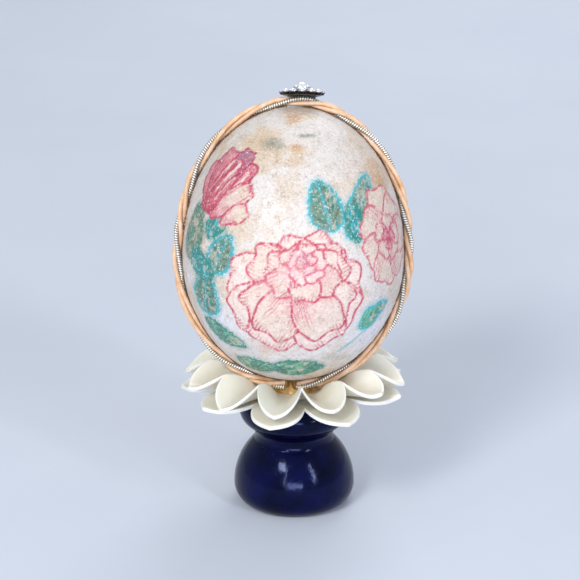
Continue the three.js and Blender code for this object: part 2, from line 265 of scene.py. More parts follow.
def arc(centre_radius, centre_height, radial, axial, start, end, count):
    """Points of a profile along part of an ellipse."""
    a = np.linspace(start, end, count)
    return np.stack([centre_radius + radial * np.cos(a), centre_height + axial * np.sin(a)], -1)


def colour_attribute(piece, name, colours):
    """Stores a linear colour, or one number for a grey, for each point of a piece."""
    layer = piece.data.color_attributes.new(name, "FLOAT_COLOR", "POINT")
    rgba = np.ones((len(piece.data.vertices), 4))
    rgba[:, :3] = colours
    layer.data.foreach_set("color", rgba.ravel())


def finish_piece(piece, material, node):
    """Gives a piece its material, hides the CAD node that it stands for, and attaches it to the root
    body.
    """
    piece.data.materials.clear()
    piece.data.materials.append(material)
    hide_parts(node)
    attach(piece, "root")
    return piece


# ---- materials

class Nodes:
    """A new material and short ways to add its nodes."""

    def __init__(self, name, **shader_values):
        self.material = bpy.data.materials.new(name)
        self.material.use_nodes = True
        self.tree = self.material.node_tree
        self.shader = self.tree.nodes["Principled BSDF"]
        for socket, value in shader_values.items():
            self.shader.inputs[socket.replace("_", " ")].default_value = value

    def add(self, kind, **settings):
        node = self.tree.nodes.new(kind)
        for key, value in settings.items():
            setattr(node, key, value)
        return node

    def link(self, output, target):
        self.tree.links.new(output, target)

    def noise(self, size, detail=4.0, roughness=0.55):
        """Noise whose features are about `size` millimetres across."""
        place = self.add("ShaderNodeTexCoord")
        fit = self.add("ShaderNodeMapping")
        fit.inputs["Scale"].default_value = (1 / (size * MM),) * 3
        self.link(place.outputs["Object"], fit.inputs["Vector"])
        node = self.add("ShaderNodeTexNoise")
        node.inputs["Scale"].default_value = 1.0
        node.inputs["Detail"].default_value = detail
        node.inputs["Roughness"].default_value = roughness
        self.link(fit.outputs["Vector"], node.inputs["Vector"])
        return node.outputs["Fac"]

    def ramp(self, value, stops):
        node = self.add("ShaderNodeValToRGB")
        ramp = node.color_ramp
        while len(ramp.elements) < len(stops):
            ramp.elements.new(0.5)
        for element, (place, colour) in zip(ramp.elements, stops):
            element.position = place
            element.color = (*linear(colour), 1) if isinstance(colour, str) else (colour,) * 3 + (1,)
        self.link(value, node.inputs["Fac"])
        return node.outputs["Color"]

    def mix_colour(self, a, b, amount, blend="MIX"):
        node = self.add("ShaderNodeMix", data_type="RGBA", blend_type=blend)
        for socket, source in ((node.inputs[0], amount), (node.inputs[6], a), (node.inputs[7], b)):
            if isinstance(source, bpy.types.NodeSocket):
                self.link(source, socket)
            elif isinstance(source, str):
                socket.default_value = (*linear(source), 1)
            else:
                socket.default_value = source
        return node.outputs[2]

    def bump(self, height, distance, under=None):
        """Bumps `distance` millimetres high."""
        node = self.add("ShaderNodeBump")
        node.inputs["Strength"].default_value = 1.0
        node.inputs["Distance"].default_value = distance * MM
        self.link(height, node.inputs["Height"])
        if under is not None:
            self.link(under, node.inputs["Normal"])
        return node.outputs["Normal"]

    def rough(self, size, low, high):
        """Roughness that varies between two values over about `size` millimetres."""
        self.set("Roughness", self.ramp(self.noise(size), [(0.3, low), (0.7, high)]))

    def attribute(self, name):
        return self.add("ShaderNodeVertexColor", layer_name=name).outputs["Color"]

    def set(self, socket, source):
        self.link(source, self.shader.inputs[socket])


def lacquer_material():
    m = Nodes("navy_lacquer", Specular_IOR_Level=0.24)
    # painted reflection: the blue specular tint stands in for blue surroundings reflected in the lacquer
    m.shader.inputs["Specular Tint"].default_value = (*linear("#B4C6FF"), 1)
    m.set("Base Color", m.ramp(m.noise(6), [(0.3, "#010210"), (0.75, "#07093A")]))
    m.set("Roughness", m.ramp(m.noise(0.8), [(0.35, 0.08), (0.75, 0.24)]))
    wavy = m.bump(m.noise(2.6, detail=2), 0.06)
    m.set("Normal", m.bump(m.noise(0.35, detail=3), 0.006, under=wavy))
    return m.material


def ivory_material():
    m = Nodes("ivory_petals", IOR=1.5, Subsurface_Weight=0.25, Subsurface_Scale=0.0015, Coat_Weight=0.25,
              Coat_Roughness=0.2)
    m.shader.inputs["Subsurface Radius"].default_value = (1.0, 0.8, 0.5)
    face = m.ramp(m.noise(7), [(0.3, "#E2DDCB"), (0.7, "#EEEBE0")])
    # painted light: the "rim" attribute whitens the petals' rims as if their thin edges caught the light
    m.set("Base Color", m.mix_colour(face, "#F1EFE8", m.attribute("rim")))
    m.rough(1.2, 0.32, 0.5)
    m.set("Normal", m.bump(m.noise(1.5, detail=5), 0.03))
    return m.material


def paper_material():
    m = Nodes("varnished_rose_paper", IOR=1.5, Coat_Weight=0.2, Coat_Roughness=0.22)
    art = m.attribute("artwork")
    blotches = m.ramp(m.noise(1.8, detail=8, roughness=0.75),
                      [(0.3, "#B9A086"), (0.46, "#F2ECE4"), (0.7, "#FFFFFF")])
    grain = m.ramp(m.noise(0.45, detail=4, roughness=0.8), [(0.3, "#9A8E82"), (0.5, "#FFFFFF")])
    worn = m.mix_colour(m.mix_colour(art, blotches, 0.65, "MULTIPLY"), grain, 0.42, "MULTIPLY")
    flecks = m.ramp(m.noise(0.5, detail=3, roughness=0.75), [(0.56, 0.0), (0.68, 0.8)])
    m.set("Base Color", m.mix_colour(worn, "#F1EFEE", flecks))
    m.rough(0.5, 0.32, 0.65)
    crumple = m.bump(m.noise(1.4, detail=7, roughness=0.72), 0.4)
    m.set("Normal", m.bump(m.noise(0.34, detail=4, roughness=0.8), 0.1, under=crumple))
    return m.material


def shell_material():
    m = Nodes("eggshell", IOR=1.5)
    m.set("Base Color", m.ramp(m.noise(4), [(0.3, "#E6D9C5"), (0.7, "#F2EADC")]))
    m.rough(0.6, 0.5, 0.65)
    m.set("Normal", m.bump(m.noise(0.3), 0.02))
    return m.material


def satin_material():
    m = Nodes("peach_satin", IOR=1.45, Sheen_Weight=0.5, Sheen_Roughness=0.35)
    m.shader.inputs["Sheen Tint"].default_value = (*linear("#FFE6CF"), 1)
    m.set("Base Color", m.ramp(m.noise(2.5, detail=5),
                               [(0.28, "#D29F70"), (0.5, "#E4BB96"), (0.74, "#F0D0B6")]))
    m.rough(0.5, 0.3, 0.5)
    m.set("Normal", m.bump(m.noise(0.12, detail=2), 0.01))
    return m.material


def purl_material():
    m = Nodes("silver_purl", Metallic=0.6)
    worn = m.ramp(m.noise(3), [(0.3, "#EDE2C6"), (0.6, "#FBFAF6")])
    # painted shade: the "rib" attribute darkens the grooves between the winds to a dark brown
    m.set("Base Color", m.mix_colour("#5C5240", worn, m.attribute("rib")))
    m.rough(0.4, 0.22, 0.4)
    m.set("Normal", m.bump(m.noise(0.1, detail=2), 0.006))
    return m.material


def metal_material():
    m = Nodes("silver_setting", Metallic=1.0)
    worn = m.ramp(m.noise(1.2), [(0.3, "#DADCE0"), (0.7, "#F8F9FA")])
    # painted shade: the setting is near black low down, on the plate and between the cups, and silver
    # higher up, as if shade filled the gaps
    m.set("Base Color", m.mix_colour("#2B2829", worn, m.attribute("painted_light_by_height")))
    m.rough(0.5, 0.18, 0.4)
    m.set("Normal", m.bump(m.noise(0.2), 0.008))
    return m.material


def rhinestone_material():
    m = Nodes("rhinestone", Metallic=0.4, Coat_Weight=1.0, Coat_Roughness=0.02, Coat_IOR=1.9)
    m.set("Base Color", m.ramp(m.noise(0.8), [(0.3, "#E8ECF4"), (0.7, "#FFFFFF")]))
    m.rough(0.4, 0.03, 0.1)
    return m.material


def glue_material():
    m = Nodes("amber_glue", IOR=1.5, Transmission_Weight=0.1, Coat_Weight=0.6, Coat_Roughness=0.06)
    m.set("Base Color", m.ramp(m.noise(1.4), [(0.3, "#9A6A2C"), (0.6, "#E0B870")]))
    m.rough(0.8, 0.1, 0.28)
    m.set("Normal", m.bump(m.noise(0.9), 0.06))
    return m.material


# ---- stand

STAND_SIDES = 160


def make_stand():
    shoulder = math.acos(NECK_RADIUS / BELLY_RADIUS)
    reach = COLLAR_RADIUS - NECK_RADIUS
    top = math.asin((STAND_TOP - COLLAR_HEIGHT) / COLLAR_HALF_HEIGHT)
    profile = np.vstack([
        [(0, 0), (FOOT_RADIUS * 0.5, 0)],
        arc(FOOT_RADIUS, BELLY_HEIGHT, BELLY_RADIUS - FOOT_RADIUS, BELLY_HEIGHT, -QUARTER, 0, 24),
        arc(0, BELLY_HEIGHT, BELLY_RADIUS, DOME_RISE, 0, shoulder, 40)[1:],
        arc(NECK_RADIUS, COLLAR_HEIGHT, reach, COLLAR_HALF_HEIGHT, -QUARTER, top, 40),
        [(STAND_TOP_RADIUS, STAND_TOP), (STAND_TOP_RADIUS * 0.5, STAND_TOP), (0, STAND_TOP)],
    ])
    points, faces = revolve(profile, STAND_SIDES)
    stand = build_mesh("lacquered_stand", points, faces)
    return finish_piece(stand, lacquer_material(), "turned_stand")


# ---- flower

CUP_STEEPNESS = 0.8  # below 1, the ridges between petals rise sooner
RIDGE_SHARPNESS = 1.8
PETAL_ROUNDNESS = 2.6
# how far painted light whitens the petals' rims
RIM_PAINTED_LIGHT = 0.7
HUB_RINGS = (0.33, 0.66)


def tier_top(tier, radius, across, tip_lift):
    """Height of a tier's upper face. Across is 0 in a petal's middle and 1 on a ridge."""
    out = (radius - HUB_RADIUS) / (tier["tip"] - HUB_RADIUS)
    valley = mix(tier["hub_top"], tier["valley_at_tip"], np.sin(out * QUARTER))
    climb = np.clip((radius - CUP_START_RADIUS) / (tier["notch"] - CUP_START_RADIUS), 0, 1)
    ridge = tier["ridge"] * np.sin(climb ** CUP_STEEPNESS * QUARTER) * across ** RIDGE_SHARPNESS
    return valley + ridge + tip_lift * out ** 2 * (1 - across)


def softened(value):
    """Pulls a sine or cosine outwards, so that a round rim turns nearly square."""
    return math.copysign(abs(value) ** 0.5, value)


def make_tier(name, tier, material, node):
    """Rings of points from the hub out over the petals, round their rim and back underneath."""
    per_petal, rows, rim_steps = 44, 34, 9
    columns = tier["petals"] * per_petal
    j = np.arange(columns)
    from_middle = j % per_petal / per_petal
    across = 2 * np.minimum(from_middle, 1 - from_middle)
    angle = tier["first"] + j / per_petal * 2 * math.pi / tier["petals"] - QUARTER
    rounded, pointed = 1 - across ** PETAL_ROUNDNESS, 1 - across
    edge = mix(tier["notch"], tier["tip"], mix(rounded, pointed, PETAL_POINT * pointed))
    tip_lift = np.array(tier["tip_lifts"])[np.round(j / per_petal).astype(int) % tier["petals"]]
    half = tier["wall"] / 2
    inner_edge = edge - half
    radii = [mix(HUB_RADIUS, inner_edge, i / rows) for i in range(rows + 1)]
    top = [(r, tier_top(tier, r, across, tip_lift)) for r in radii]
    edge_top = top[-1][1]
    rim = []
    for t in np.linspace(QUARTER, -QUARTER, rim_steps)[1:-1]:
        rim.append((inner_edge + half * softened(math.cos(t)),
                    edge_top - half + half * softened(math.sin(t))))
    under = [(r, z - tier["wall"]) for r, z in reversed(top)]
    hub_top = [(0 * j + HUB_RADIUS * s, 0 * j + tier["hub_top"]) for s in HUB_RINGS]
    hub_low = [(0 * j + HUB_RADIUS * s, 0 * j + tier["hub_bottom"]) for s in (1, *HUB_RINGS[::-1])]
    loops = hub_top + top + rim + under + hub_low
    ring = np.array([np.stack([r * np.cos(angle), r * np.sin(angle), z], -1) for r, z in loops])
    points = np.vstack([ring.reshape(-1, 3), [(0, 0, tier["hub_top"])], [(0, 0, tier["hub_bottom"])]])
    piece = build_mesh(name, points, [face[::-1] for face in capped_faces(len(loops), columns)])
    # painted light: the points round each rim are whitened, as if the thin edges caught the light
    rim_light = np.zeros((len(loops), 1))
    first_rim = len(hub_top) + len(top) - 1
    rim_light[first_rim:first_rim + len(rim) + 1] = RIM_PAINTED_LIGHT
    rim_light = np.vstack([np.repeat(rim_light, columns, axis=0), [[0]], [[0]]])
    colour_attribute(piece, "rim", rim_light)
    return finish_piece(piece, material, node)


# ---- egg

SHELL_ROWS = 90
SHELL_SIDES = 120
TANGENT_STEP = 1e-4
UP_STEP = 0.01

EGG_MATRIX = (Matrix.Translation(EGG_CENTRE) @ Matrix.Rotation(LEAN_RIGHT, 4, "Y")
              @ Matrix.Rotation(-LEAN_BACK, 4, "X"))


def egg_outline(angle, offset=0.0):
    """Points of the egg's outline, `offset` off the shell, at angles anticlockwise from +X."""
    def at(a):
        upper = np.sin(a) > 0
        swell = 1 + EGG_FULLNESS * np.where(upper, 1, -1) * np.sin(2 * a) ** 2
        return np.stack([EGG_RADIUS * np.cos(a) * swell,
                         np.where(upper, EGG_UPPER, EGG_LOWER) * np.sin(a)], -1)
    angle = np.asarray(angle, float)
    tangent = unit(at(angle + TANGENT_STEP) - at(angle - TANGENT_STEP))
    return at(angle) + offset * np.stack([tangent[..., 1], -tangent[..., 0]], -1)


def on_egg(longitude, height):
    """A point on the egg's paper, with its directions to the right and up. Longitude is in degrees, 0 at
    the front and positive to the right; height is from the widest section."""
    angle = math.asin(height / (EGG_UPPER if height > 0 else EGG_LOWER))
    near = egg_outline([angle - UP_STEP, angle, angle + UP_STEP], PAPER_TOP)
    sine, cosine = math.sin(math.radians(longitude)), math.cos(math.radians(longitude))
    place = np.array([near[1, 0] * sine, -near[1, 0] * cosine, near[1, 1]])
    rise = near[2] - near[0]
    up = np.array([rise[0] * sine, -rise[0] * cosine, rise[1]])
    return place, np.array([cosine, sine, 0]), up / np.linalg.norm(up)


def make_shell():
    hole = QUARTER - BLOW_HOLE_ANGLE
    angles = np.linspace(-hole, hole, SHELL_ROWS)
    outside, inside = egg_outline(angles), egg_outline(angles, -SHELL_WALL)[::-1]
    profile = np.vstack([outside, inside])
    points = spin(profile, turns(SHELL_SIDES))
    faces = grid_faces(len(profile), SHELL_SIDES, ring=True)
    last = (len(profile) - 1) * SHELL_SIDES
    for a in range(SHELL_SIDES):
        b = (a + 1) % SHELL_SIDES
        faces.append((last + a, last + b, b, a))
    shell = build_mesh("blown_eggshell", points, faces, EGG_MATRIX)
    return finish_piece(shell, shell_material(), "egg_shell")


# ---- artwork on the paper

CREAM = linear("#E3D2C0")
WHITE = linear("#E6E1DE")
# a pale blue-white of the ground, raised past the ground's own tone as painted light on the lower egg
COOL_WHITE = linear("#EEF0FA")
BLUSH = linear("#F8E2DA")
PINK = linear("#E9A3AC")
CRIMSON = linear("#CE3F62")
DEEP_ROSE = linear("#B5345A")
PLUM = linear("#8C5A86")
TEAL = linear("#1F8F86")
CYAN = linear("#35BCCB")
SAGE = linear("#6B8F78")
FOREST = linear("#3C8F78")
EMERALD = linear("#5DBB92")
OCHRE = linear("#D29A5C")
TAN = linear("#CFA87E")
GREY_GREEN = linear("#8F9180")
SAND = linear("#DDC5A6")
# dark brown of the glue, together with the cord's painted shadow along it
DARK_GLUE_AND_SHADOW = linear("#5B3A1C")

LINE_WIDTH = 0.26
LINE_FADE = 0.22  # beyond a petal's line
STROKE_FADE = 0.25  # beyond a single stroke
STROKE_PITCH = 0.7
HATCH_REACH = 0.85  # of a petal's length
RIM_HATCH = 2.0  # millimetres in from a petal's edge
STROKE_SCATTER = 12.9898  # makes neighbouring strokes differ in length
MOTIF_REACH = 34  # from a motif's place, before the egg curves away from its flat sheet
WANDER = 0.25  # how far the drawn lines stray
PETAL_STEPS = 56
LEAF_STEPS = 84
LEAF_TEETH = 7
LEAF_VEINS = 5
TOOTH_DEPTH = 0.16  # of a leaf's half-width
FINE_NOISE = Noise(0.55, 1)
MIDDLE_NOISE = Noise(1.8, 2)
BROAD_NOISE = Noise(6.0, 3)


def laid(base, aim, along, across):
    """Points at distances along an aim and across it from a base."""
    way, side = direction(aim)
    return np.asarray(base, float) + along[:, None] * way + across[:, None] * side


def petal_outline(base, aim, length, width, fullness, ruffle):
    """A closed outline that starts at its base and reaches its tip half-way round. The aim is in
    degrees anticlockwise from the right; fullness moves its widest part towards the tip."""
    t = turns(PETAL_STEPS)
    near_tip = smooth(0.55, 0.95, (1 - np.cos(t)) / 2)
    along = length * (1 - np.cos(t)) / 2 * (1 + ruffle * near_tip * np.cos(5 * t))
    across = width / 2 * np.sin(t) * (1 - fullness * np.cos(t))
    return laid(base, aim, along, across)


def leaf_outline(base, aim, length, width):
    """A toothed outline, widest near its base."""
    t = turns(LEAF_STEPS)
    along = length * (1 - np.cos(t)) / 2
    saw = 1 + TOOTH_DEPTH * ((LEAF_TEETH * (1 - np.cos(t)) / 2) % 1 - 0.5)
    across = width / 2 * np.sin(t) * (1 + 0.25 * np.cos(t)) * saw
    return laid(base, aim, along, across)


def line_distance(points, line, closed):
    """Distance from each point to a line of points, and whether it is inside a closed one."""
    nearest = np.full(len(points), np.inf)
    inside = np.zeros(len(points), bool)
    ends = np.roll(line, -1, axis=0) if closed else line[1:]
    for start, end in zip(line, ends):
        edge = end - start
        away = points - start
        t = np.clip((away @ edge) / max(edge @ edge, 1e-9), 0, 1)
        nearest = np.minimum(nearest, np.linalg.norm(away - t[:, None] * edge, axis=1))
        if closed and start[1] != end[1]:
            crosses = (start[1] > points[:, 1]) != (end[1] > points[:, 1])
            inside ^= crosses & (points[:, 0] < start[0] + away[:, 1] * edge[0] / edge[1])
    return nearest, inside


class Painting:
    """Colours laid on points of the egg, each motif over the ones before it."""

    def __init__(self, points):
        self.points = points
        self.fine, self.middle = FINE_NOISE(points), MIDDLE_NOISE(points)
        paler = smooth(-0.45, 0.35, BROAD_NOISE(points) + 0.5 * self.middle)
        self.colour = mix(CREAM, WHITE, paler[:, None])

    def use_place(self, longitude, height, turn=0):
        """Lays the flat sheet that the next motifs are drawn on against the egg at a place."""
        place, right, up = on_egg(longitude, height)
        away = self.points - place
        flat = np.stack([away @ right, away @ up], -1)
        chord = np.linalg.norm(away, axis=1)
        spread = chord * (1 + chord ** 2 / (24 * EGG_RADIUS ** 2)) / np.maximum(
            np.linalg.norm(flat, axis=1), 1e-6)
        flat *= spread[:, None]
        flat += WANDER * np.stack([self.middle, np.roll(self.middle, 7)], -1)
        c, s = math.cos(math.radians(turn)), math.sin(math.radians(turn))
        self.flat = flat @ np.array([[c, -s], [s, c]])
        self.near = chord < MOTIF_REACH

    def lay(self, where, colour, amount):
        amount = np.clip(amount, 0, 1)[:, None]
        self.colour[where] = mix(self.colour[where], colour, amount)

    def close_to(self, outline, margin):
        low, high = outline.min(0) - margin, outline.max(0) + margin
        return np.flatnonzero(self.near & ((self.flat > low) & (self.flat < high)).all(1))

    def wash(self, centre, size, colour, strength):
        """A soft patch of colour. Size is its half-width and half-height."""
        reach = np.linalg.norm((self.flat - centre) / size, axis=1)
        reach += 0.35 * self.middle + 0.2 * self.fine
        where = np.flatnonzero(self.near)
        self.lay(where, colour, strength * (1 - smooth(0.1, 1.1, reach[where])))

    def cover(self, outline, base, aim, length, width):
        """The points near an outline, their distance from it, whether they are inside, and how far
        along and across they are, as shares of its length and width."""
        where = self.close_to(outline, 1.0)
        flat = self.flat[where]
        distance, inside = line_distance(flat, outline, True)
        way, side = direction(aim)
        away = flat - base
        return where, distance, inside, away @ way / length, (away @ side) / width

    def petal(self, base, aim, length, width, fill, heart, line, fullness=0.35, ruffle=0.05,
              hatched=True):
        """A petal, darker near its base, with drawn hatching at its base and along its edge."""
        outline = petal_outline(base, aim, length, width, fullness, ruffle)
        where, distance, inside, t, w = self.cover(outline, base, aim, length, width)
        fine = self.fine[where]
        tone = mix(heart, fill, smooth(0.05, 0.65, t + 0.2 * fine)[:, None])
        self.lay(where, tone, inside * 0.9)
        if hatched:
            count = width / STROKE_PITCH
            fanned = w / np.maximum(0.35 + t, 0.3)
            self.strokes(where, inside, fanned, t, line, count, HATCH_REACH, 0.0)
            self.strokes(where, inside, w, distance, line, count, RIM_HATCH, 0.25)
        worn = 1.0 - 0.7 * smooth(0.0, 0.7, fine + 0.5 * self.middle[where])
        self.lay(where, line, worn * (1 - smooth(LINE_WIDTH / 2, LINE_WIDTH / 2 + LINE_FADE, distance)))

    def strokes(self, where, inside, place, depth, colour, count, reach, offset):
        """Short drawn lines, side by side, that start at depth 0 and differ in length."""
        number = np.floor(place * count + offset)
        from_middle = np.abs(place * count + offset - number - 0.5)
        length = reach * (0.35 + 0.65 * np.sin(number * STROKE_SCATTER) ** 2)
        on = inside * (1 - smooth(0.12, 0.3, from_middle)) * smooth(-0.25, 0.3, self.middle[where])
        self.lay(where, colour, 0.7 * on * (1 - smooth(0.6, 1.0, depth / length)))

    def leaf(self, base, aim, length, width, fill, shade, edge):
        """A mottled leaf with dark side veins, and a middle rib in the colour of its edge."""
        outline = leaf_outline(base, aim, length, width)
        where, distance, inside, t, w = self.cover(outline, base, aim, length, width / 2)
        fine, w = self.fine[where], np.abs(w)
        mottled = smooth(-0.25, 0.35, self.middle[where] + 0.8 * fine)
        self.lay(where, mix(fill, shade, mottled[:, None]), inside * 0.95)
        vein = np.abs((t - 0.35 * w) * LEAF_VEINS % 1 - 0.5) + 0.12 * fine
        self.lay(where, shade * 0.55, inside * 0.75 * (1 - smooth(0.06, 0.2, vein)))
        self.lay(where, edge, inside * 0.7 * (1 - smooth(0.03, 0.12, w)))
        self.lay(where, CREAM, inside * 0.5 * smooth(0.25, 0.6, fine - self.middle[where]))
        rim = 1 - smooth(0.2, 0.9, distance + 0.3 * fine)
        self.lay(where, edge, rim * np.where(inside, 0.9, 0.35))

    def stroke(self, line, width, colour, amount):
        """A single drawn line."""
        line = np.asarray(line, float)
        where = self.close_to(line, 1.0)
        distance, _ = line_distance(self.flat[where], line, False)
        self.lay(where, colour, amount * (1 - smooth(width / 2, width / 2 + STROKE_FADE, distance)))


def open_rose(art, size):
    """A full-blown cream rose drawn in crimson, seen from a little below: its heart is above its
    middle and its lower petals are the longest. Size is its half-width."""
    back = dict(fill=BLUSH, heart=PINK, ruffle=0.05)
    cup = dict(fill=mix(BLUSH, CREAM, 0.5), heart=PINK, ruffle=0.07, fullness=0.25)
    heart = dict(fill=BLUSH, heart=mix(PINK, CRIMSON, 0.4), ruffle=0.06)
    rows = (  # where the row's petals spring from, their width, and each one's aim and length
        ((0.03, 0.15), 0.66, ((124, 0.62), (84, 0.68), (50, 0.80), (150, 0.70)), back),
        ((0.02, 0.08), 0.72,
         ((172, 1.0), (4, 0.95), (208, 1.04), (-26, 0.98), (-116, 1.0), (-60, 1.0)), back),
        ((0.08, 0.22), 0.60, ((158, 0.76), (26, 0.70), (108, 0.46), (66, 0.50)), cup),
        ((0.06, 0.12), 0.60, ((-152, 0.86), (-24, 0.82)), cup),
        ((0.06, 0.20), 0.66, ((-118, 0.96), (-62, 0.94)), cup),
        ((0.12, 0.34), 0.44, ((172, 0.54), (124, 0.40), (72, 0.42), (12, 0.50)), cup),
        ((0.13, 0.38), 0.42, ((-148, 0.56), (-34, 0.54), (-90, 0.46)), cup),
        ((0.15, 0.44), 0.27, ((90, 0.27), (162, 0.26), (234, 0.28), (306, 0.27), (18, 0.26)), heart),
        ((0.15, 0.44), 0.15, ((50, 0.14), (170, 0.15), (290, 0.14)), heart),
    )
    for base, width, petals, style in rows:
        for aim, length in petals:
            art.petal(np.array(base) * size, aim, length * size, width * size, line=CRIMSON, **style)
    washes = (
        ((0.02, 0.42), (0.36, 0.24), PINK, 0.5),
        ((-0.3, 0.2), (0.2, 0.3), PINK, 0.35),
        ((0.42, 0.3), (0.22, 0.3), PINK, 0.35),
        ((0.1, 0.5), (0.16, 0.1), PLUM, 0.2),
        ((-0.35, -0.85), (0.3, 0.12), PINK, 0.35),
    )
    for place, reach, colour, strength in washes:
        art.wash(np.array(place) * size, np.array(reach) * size, colour, strength)


BUD_STROKES = 13


def side_bud(art, size):
    """A half-open crimson rose that leans to the right, with two cream petals curling away below."""
    red = dict(fill=mix(CRIMSON, PINK, 0.6), heart=mix(CRIMSON, PINK, 0.2), line=DEEP_ROSE)
    plum = dict(fill=mix(PINK, PLUM, 0.6), heart=CRIMSON, line=DEEP_ROSE)
    streak = dict(fill=BLUSH, heart=PINK, line=CRIMSON, hatched=False)
    pale = dict(fill=mix(BLUSH, CREAM, 0.6), heart=PINK, line=CRIMSON)
    foot = np.array([-0.78, -0.66])
    for aim, length, width in ((86, 1.35, 0.8), (34, 1.5, 0.8), (70, 1.75, 0.85), (50, 1.75, 0.85)):
        art.petal(foot * size, aim, length * size, width * size, **red)
    art.petal((-0.25 * size, 0.1 * size), 62, 0.95 * size, 0.5 * size, **plum)
    for x, y, aim, length in ((-0.5, -0.3, 58, 1.1), (-0.05, -0.15, 50, 0.7), (-0.45, 0.15, 66, 0.6)):
        art.petal((x * size, y * size), aim, length * size, 0.16 * size, **streak)
    for k in range(BUD_STROKES):
        start = foot + np.array([0.02 + 0.055 * k, 0.5 - 0.02 * k]) + 0.1 * math.sin(5 * k)
        aim = 1.0 - 0.03 * k
        way = np.array([math.cos(aim), math.sin(aim)])
        line = [start + way * step + 0.03 * math.sin(9 * step + k) for step in np.linspace(0, 0.75, 6)]
        art.stroke(np.array(line) * size, 0.12, DEEP_ROSE if k % 3 else BLUSH, 0.55)
    art.petal((-0.55 * size, -0.8 * size), 34, 1.35 * size, 0.5 * size, **pale)
    art.petal((-0.2 * size, -0.95 * size), 26, 0.85 * size, 0.42 * size, **pale)


def outlined_rose(art, size):
    """A cream rose turned to the side, mostly line work."""
    style = dict(fill=mix(BLUSH, CREAM, 0.5), heart=PINK, line=mix(CRIMSON, PINK, 0.25))
    for aim, length, width in ((100, 1.15, 0.9), (60, 1.0, 0.8), (150, 0.95, 0.8), (-150, 0.9, 0.8),
                               (-100, 1.0, 0.85), (-40, 0.95, 0.85), (10, 0.9, 0.8)):
        art.petal((0, 0), aim, length * size, width * size, **style)
    for k in range(5):
        art.petal((0, 0.02 * size), 90 + 72 * k, 0.5 * size, 0.46 * size, **style)
    for k in range(3):
        art.petal((0, 0), 30 + 120 * k, 0.26 * size, 0.26 * size, fill=PINK, heart=CRIMSON, line=CRIMSON)


# the cool white patches low on the egg are partly pale ground and partly painted light that brightens
# the lower egg
GROUND_WASHES = (  # longitude, height, half-width and half-height, colour and strength
    (28, 21, (10, 9), WHITE, 0.85),
    (60, -14, (11, 9), COOL_WHITE, 0.8),
    (-52, -13, (9, 6), COOL_WHITE, 0.75),
    (-70, -3, (6, 5), COOL_WHITE, 0.6),
    (28, 9, (12, 8), WHITE, 0.45),
    (0, -21, (16, 3), WHITE, 0.5),
    (150, 14, (12, 10), WHITE, 0.7),
    (-150, -12, (12, 8), COOL_WHITE, 0.6),
    (-14, 12, (9, 8), WHITE, 0.4),
    (-5, 27.5, (2.6, 3.2), OCHRE, 0.6),
    (0, 22.5, (2, 1.6), OCHRE, 0.75),
    (60, 16.5, (5, 6), OCHRE, 0.6),
    (-30, 22, (12, 7), SAND, 0.75),
    (-4, 14, (4, 8), SAND, 0.45),
    (30, 14, (5, 4), SAND, 0.3),
    (-16, 23, (3.4, 2.2), GREY_GREEN, 0.8),
    (8, 24.8, (3, 0.8), GREY_GREEN, 0.85),
    (36, -19, (6, 1.6), SAGE, 0.3),
    (120, 20, (6, 4), TAN, 0.5),
    (-130, 18, (7, 5), OCHRE, 0.35),
    (180, -5, (9, 7), TAN, 0.3),
)


def paint_ground(art):
    for longitude, height, size, colour, strength in GROUND_WASHES:
        art.use_place(longitude, height)
        art.wash(np.zeros(2), size, colour, strength)


def leaf_at(art, longitude, height, aim, length, width, tones):
    """A leaf whose middle is at a place on the egg."""
    art.use_place(longitude, height)
    way, _ = direction(aim)
    art.leaf(-way * length / 2, aim, length, width, *tones)


TEAL_LEAF = (TEAL, SAGE, CYAN)
CYAN_LEAF = (CYAN, TEAL, TEAL)
SAGE_LEAF = (SAGE, FOREST, SAGE)
GREEN_LEAF = (EMERALD, FOREST, TEAL)


def paint_front(art):
    for leaf in ((-64, 5.5, 80, 12, 7.5, SAGE_LEAF), (-54, -6.5, 70, 10, 8, TEAL_LEAF),
                 (-40, 1.5, 60, 9, 6.5, TEAL_LEAF), (-55, -1, -30, 9, 5, CYAN_LEAF),
                 (-45, 6.8, 20, 6.5, 4.5, CYAN_LEAF), (-50, -14.8, -35, 11, 4.6, GREEN_LEAF),
                 (-36, -21.0, -8, 9.5, 5.2, GREEN_LEAF), (8, -21.3, 2, 10.5, 6, GREEN_LEAF),
                 (16, 11.5, 105, 11, 7, TEAL_LEAF), (38, 11.5, 62, 15, 5.6, TEAL_LEAF),
                 (33, 8, -80, 8, 4.2, CYAN_LEAF), (53, -10, 40, 8.5, 5, (TEAL, EMERALD, CYAN))):
        leaf_at(art, *leaf)
    art.use_place(44, -15)
    art.stroke([(-2, -3.5), (0, -0.5), (2.5, 2)], 0.5, CYAN, 0.6)
    art.use_place(58, 5)
    outlined_rose(art, 9.2)
    art.use_place(-38, 15)
    side_bud(art, 8.3)
    art.use_place(1, -6.2)
    open_rose(art, 14.6)


def paint_back(art):
    for leaf in ((150, -15, -30, 12, 6, GREEN_LEAF), (-150, -14, 200, 11, 6, TEAL_LEAF),
                 (128, 8, 70, 12, 7, TEAL_LEAF), (-125, 10, 110, 12, 6.5, SAGE_LEAF),
                 (150, 17, 40, 9, 5, CYAN_LEAF), (-158, 19, 150, 9, 5, TEAL_LEAF),
                 (120, -6, -60, 10, 6, SAGE_LEAF), (-118, -8, -110, 10, 6, GREEN_LEAF),
                 (100, -16, 20, 8, 4.5, GREEN_LEAF), (-95, -18, 160, 8, 4.5, GREEN_LEAF),
                 (176, 17, 95, 11, 6, GREEN_LEAF), (-175, 11, 60, 8, 4.5, CYAN_LEAF)):
        leaf_at(art, *leaf)
    art.use_place(178, -5)
    open_rose(art, 13)
    art.use_place(-132, 1, turn=20)
    outlined_rose(art, 7.5)
    art.use_place(140, 14, turn=25)
    side_bud(art, 6.5)


